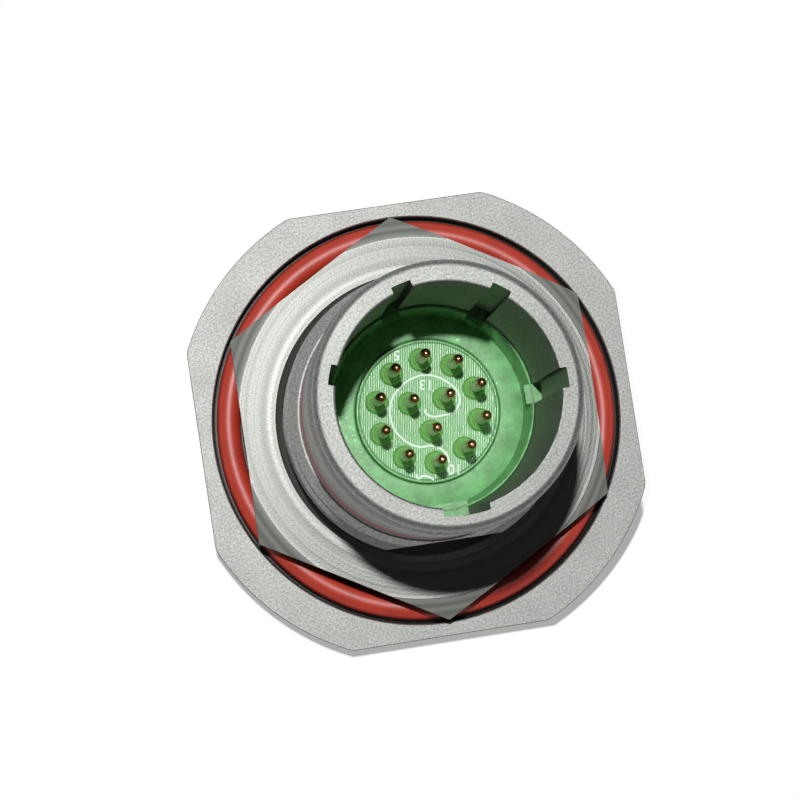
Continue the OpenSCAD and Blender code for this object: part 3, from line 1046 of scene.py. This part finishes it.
def make_contact(c, node, platings):
    """One turned contact: domed pin, shank, collar, neck and crimp barrel."""
    low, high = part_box(node)
    tip_foot = high.z - c.tip_r
    neck_r, neck_foot = 0.56 * MM, -1.2 * MM
    collar_foot = c.collar_top - 0.8 * MM
    crimp_depth = 2.0 * MM
    small = 0.05 * MM
    profile = [
        *reversed(arc((0, tip_foot), c.tip_r, 0, 90, 9)),
        (c.pin_r - 0.01 * MM, tip_foot - 0.22 * MM),
        (c.pin_r, tip_foot - 0.3 * MM),
        (c.pin_r, c.shank_top + 0.04 * MM),
        (c.shank_r, c.shank_top),
        (c.shank_r, c.collar_top),
        (c.collar_r - small, c.collar_top),
        (c.collar_r, c.collar_top - small),
        (c.collar_r, collar_foot + small),
        (c.collar_r - small, collar_foot),
        (neck_r, collar_foot),
        (neck_r, neck_foot),
        (c.crimp_r, neck_foot - small),
        (c.crimp_r, low.z + small),
        (c.crimp_r - small, low.z),
        (c.crimp_bore_r + small, low.z),
        (c.crimp_bore_r, low.z + small),
        (c.crimp_bore_r, low.z + crimp_depth - 0.1 * MM),
        (0, low.z + crimp_depth),
    ]
    bm = bmesh.new()
    spin_profile(bm, profile, steps=40, closed=False, centre=contact_place(node))
    # Painted reflection: the pins below their tips take a pale green plating for the mirrored green seals.
    for face in bm.faces:
        painted_reflection_below_tip = c.shank_top < face.calc_center_median().z < tip_foot - 0.2 * MM
        face.material_index = int(painted_reflection_below_tip)
    piece = finished(node + "_turned", bm, platings)
    seat(piece, "receptacle", "gold_contact", node)


def make_contacts(c, finishes):
    """All the contacts, gold at their tips, with a pale green plating below them that paints the green
    seals' reflection.
    """
    platings = [
        turned_alloy("gold_plating", finishes.gold),
        # Painted reflection: pale green metal for the seals mirrored in the pins.
        turned_alloy("pale_gold_plating", finishes.pale_gold_green_reflection, roughness=0.4),
    ]
    for node in CONTACTS:
        make_contact(c, node, platings)


def copy_of_node(node, name, material):
    """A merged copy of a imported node, smooth apart from its edges."""
    bm = bmesh.new()
    bm.from_mesh(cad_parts[node].data)
    bmesh.ops.remove_doubles(bm, verts=bm.verts[:], dist=MERGE_GAP)
    return finished(name, bm, [material])


def make_rear_parts(finishes):
    """The grommet and the retaining ring, seen from behind."""
    rubber = moulded("grommet_rubber", finishes.face_rubber, roughness=0.45)
    grommet = copy_of_node("rear_grommet", "rear_grommet_moulded", rubber)
    seat(grommet, "receptacle", "grommet_rubber", "rear_grommet")
    steel = turned_alloy("spring_steel", finishes.spring, roughness=0.35)
    ring = copy_of_node("retaining_ring", "retaining_ring_stamped", steel)
    seat(ring, "receptacle", "spring_steel", "retaining_ring")


def finish_inner_nodes(finishes):
    """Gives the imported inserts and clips, which the other pieces cover, their finishes."""
    plastic = moulded("insert_plastic", finishes.insert)
    copper = turned_alloy("clip_copper", finishes.clip_copper, roughness=0.3)
    for node in ("front_insert", "rear_insert"):
        paint_node(node, plastic)
    for node in CLIPS:
        paint_node(node, copper)


def paint_node(node, material):
    """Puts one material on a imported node."""
    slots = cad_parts[node].data.materials
    slots.clear()
    slots.append(material)


# ---------------------------------------------------------------- stage

# The floor: its grey, the share of glow in its patch, and how much the glow gains as its share falls.
FLOOR_GREY = 0.97
PATCH_GLOW = 0.25
GLOW_GAIN = 0.45

# The world's soft light, and the light that mirrors see: the height at which the fade ends, the
# strength at the horizon and the strength overhead. Both fades start at the same height.
HORIZON_TOP = 0.1
SOFT_LIGHT_COLOUR = (0.84, 0.94, 1.0, 1)
SOFT_LIGHT = (0.5, 0.36, 0.035)
MIRRORED_LIGHT = (0.75, 0.8, 0.056)


def ray_is_seen(tree):
    """1 for rays that the camera, a mirror or glass sends, else 0."""
    path = tree.nodes.new("ShaderNodeLightPath").outputs
    seen = path["Is Camera Ray"]
    for other in ("Is Glossy Ray", "Is Transmission Ray"):
        seen = calculate(tree, "MAXIMUM", seen, path[other])
    return seen


def glow_share(shader, studio):
    """The share of white glow in the floor: low in a patch shaped like the flange, full round it."""
    tree = shader.tree
    middle = Vector((*studio.patch_middle, CAD_BOUNDS[0].z))
    from_middle = calculate_vector(tree, "SUBTRACT", shader.place, middle)
    folded = calculate_vector(tree, "ABSOLUTE", from_middle)
    sides = add_node(tree, "ShaderNodeSeparateXYZ", folded).outputs
    square = calculate(tree, "MAXIMUM", sides["X"], sides["Y"])
    far = calculate_vector(tree, "LENGTH", from_middle)
    circle = calculate(tree, "SUBTRACT", far, studio.patch_round - studio.patch_flat)
    glowing = add_node(
        tree,
        "ShaderNodeMapRange",
        Value=calculate(tree, "MAXIMUM", square, circle),
        From_Min=studio.patch_flat - 0.05 * MM,
        From_Max=studio.patch_flat + 0.1 * MM,
        To_Min=PATCH_GLOW,
    )
    return glowing.outputs["Result"]


def join_surfaces(tree, share, first, second, output):
    """Feeds an output with a mix of two surfaces, by the share of the second."""
    mix = add_node(tree, "ShaderNodeMixShader", share, first.outputs[0], second.outputs[0])
    tree.links.new(mix.outputs[0], tree.nodes[output].inputs["Surface"])


def make_floor(studio):
    """A round pale floor under the accessory end, which keeps a soft shadow."""
    bm = bmesh.new()
    bmesh.ops.create_circle(bm, cap_ends=True, segments=96, radius=studio.floor_r)
    bmesh.ops.translate(bm, verts=bm.verts, vec=(0, 0, CAD_BOUNDS[0].z))
    shader = Shader("pale_floor", (FLOOR_GREY,) * 3, roughness=0.9)
    share = glow_share(shader, studio)
    strength = calculate(shader.tree, "MULTIPLY_ADD", share, -GLOW_GAIN, 1 + GLOW_GAIN)
    glow = add_node(shader.tree, "ShaderNodeEmission", Strength=strength)
    seen = calculate(shader.tree, "MULTIPLY", ray_is_seen(shader.tree), share)
    join_surfaces(shader.tree, seen, shader.surface, glow, "Material Output")
    floor = finished("floor", bm, [shader.material])


def fade(tree, height, top, horizon, overhead):
    """A strength that goes from its value at the horizon to its value overhead."""
    made = add_node(
        tree,
        "ShaderNodeMapRange",
        Value=height,
        From_Min=HORIZON_TOP,
        From_Max=top,
        To_Min=horizon,
        To_Max=overhead,
    )
    return made.outputs["Result"]


def make_world():
    """Soft light from round the horizon, dark overhead, and a white backdrop."""
    world = bpy.data.worlds.new("studio")
    bpy.context.scene.world = world
    world.use_nodes = True
    tree = world.node_tree
    way = tree.nodes.new("ShaderNodeTexCoord").outputs["Generated"]
    height = add_node(tree, "ShaderNodeSeparateXYZ", way).outputs["Z"]
    light = tree.nodes["Background"]
    light.inputs["Color"].default_value = SOFT_LIGHT_COLOUR
    tree.links.new(fade(tree, height, *SOFT_LIGHT), light.inputs["Strength"])
    camera_ray = tree.nodes.new("ShaderNodeLightPath").outputs["Is Camera Ray"]
    white = calculate(tree, "MAXIMUM", fade(tree, height, *MIRRORED_LIGHT), camera_ray)
    backdrop = add_node(tree, "ShaderNodeBackground", Color=(1, 1, 1, 1), Strength=white)
    join_surfaces(tree, ray_is_seen(tree), light, backdrop, "World Output")


def make_lamp(studio):
    """The round lamp, which points at the origin."""
    data = bpy.data.lights.new("main_lamp", "AREA")
    data.shape = "DISK"
    data.size = studio.lamp_size
    data.energy = studio.lamp_power
    lamp = bpy.data.objects.new("main_lamp", data)
    place = Vector(studio.lamp_place)
    lamp.location = place
    lamp.rotation_euler = (-place).to_track_quat("-Z", "Y").to_euler()
    bpy.context.scene.collection.objects.link(lamp)


def make_camera(studio):
    """The camera above the mouth, tilted a little to one side."""
    data = bpy.data.cameras.new("camera")
    data.lens = studio.lens
    data.clip_start = 0.01
    data.clip_end = 10.0
    camera = bpy.data.objects.new("camera", data)
    turn = Euler(studio.tilt, "XYZ").to_matrix()
    place = turn @ Vector((*studio.pan, studio.distance))
    camera.matrix_world = Matrix.Translation(place) @ turn.to_4x4()
    bpy.context.scene.collection.objects.link(camera)
    bpy.context.scene.camera = camera


# ---------------------------------------------------------------- operators


class MakesReceptaclePiece:
    """What the receptacle's operators share."""

    bl_options = {"REGISTER", "UNDO"}


class RECEPTACLE_OT_stage(MakesReceptaclePiece, Operator):
    """Set up the camera, the lamp, the floor and the backdrop"""

    bl_idname = "receptacle.stage"
    bl_label = "Stage"

    def execute(self, context):
        studio = context.scene.receptacle_studio
        make_camera(studio)
        make_lamp(studio)
        make_floor(studio)
        make_world()
        context.scene.view_settings.view_transform = "Standard"
        return {"FINISHED"}


class RECEPTACLE_OT_shell(MakesReceptaclePiece, Operator):
    """Model the machined shell with its threads, keyways and teeth"""

    bl_idname = "receptacle.shell"
    bl_label = "Shell"

    def execute(self, context):
        make_shell(context.scene.receptacle_shell, context.scene.receptacle_finishes)
        return {"FINISHED"}


class RECEPTACLE_OT_jam_nut(MakesReceptaclePiece, Operator):
    """Model the jam nut"""

    bl_idname = "receptacle.jam_nut"
    bl_label = "Jam nut"

    def execute(self, context):
        make_jam_nut(context.scene.receptacle_nut, context.scene.receptacle_finishes)
        return {"FINISHED"}


class RECEPTACLE_OT_seals(MakesReceptaclePiece, Operator):
    """Model the panel seal, the peripheral seal and the interface seal"""

    bl_idname = "receptacle.seals"
    bl_label = "Seals"

    def execute(self, context):
        scene = context.scene
        finishes = scene.receptacle_finishes
        make_panel_seal(scene.receptacle_seals, finishes)
        make_peripheral_seal(scene.receptacle_seals, scene.receptacle_shell, finishes)
        make_interface_seal(scene.receptacle_seals, scene.receptacle_contact, finishes)
        make_print(scene.receptacle_print, scene.receptacle_seals, finishes)
        return {"FINISHED"}


class RECEPTACLE_OT_contacts(MakesReceptaclePiece, Operator):
    """Model the gold contacts"""

    bl_idname = "receptacle.contacts"
    bl_label = "Contacts"

    def execute(self, context):
        make_contacts(context.scene.receptacle_contact, context.scene.receptacle_finishes)
        return {"FINISHED"}


class RECEPTACLE_OT_rear(MakesReceptaclePiece, Operator):
    """Finish the grommet, the retaining ring, the inserts and the clips"""

    bl_idname = "receptacle.rear"
    bl_label = "Inserts and rear parts"

    def execute(self, context):
        make_rear_parts(context.scene.receptacle_finishes)
        finish_inner_nodes(context.scene.receptacle_finishes)
        return {"FINISHED"}


class RECEPTACLE_PT_sidebar(Panel):
    """Lists the receptacle's operators"""

    bl_idname = "RECEPTACLE_PT_sidebar"
    bl_label = "Panel receptacle"
    bl_space_type = "VIEW_3D"
    bl_region_type = "UI"
    bl_category = "Receptacle"

    def draw(self, context):
        for operator in OPERATORS:
            self.layout.operator(operator.bl_idname)


OPERATORS = (
    RECEPTACLE_OT_stage,
    RECEPTACLE_OT_shell,
    RECEPTACLE_OT_jam_nut,
    RECEPTACLE_OT_seals,
    RECEPTACLE_OT_contacts,
    RECEPTACLE_OT_rear,
)
SETTINGS = {
    "receptacle_studio": Studio,
    "receptacle_shell": ShellSizes,
    "receptacle_nut": NutSizes,
    "receptacle_seals": SealSizes,
    "receptacle_print": PrintSizes,
    "receptacle_contact": ContactSizes,
    "receptacle_finishes": Finishes,
}


def register():
    for settings in SETTINGS.values():
        bpy.utils.register_class(settings)
    for name, settings in SETTINGS.items():
        setattr(bpy.types.Scene, name, PointerProperty(type=settings))
    for cls in (*OPERATORS, RECEPTACLE_PT_sidebar):
        bpy.utils.register_class(cls)


def unregister():
    for cls in (RECEPTACLE_PT_sidebar, *reversed(OPERATORS)):
        bpy.utils.unregister_class(cls)
    for name in SETTINGS:
        delattr(bpy.types.Scene, name)
    for settings in SETTINGS.values():
        bpy.utils.unregister_class(settings)


def main():
    register()
    for operator in OPERATORS:
        group, name = operator.bl_idname.split(".")
        getattr(getattr(bpy.ops, group), name)()


if __name__ == "__main__":
    main()
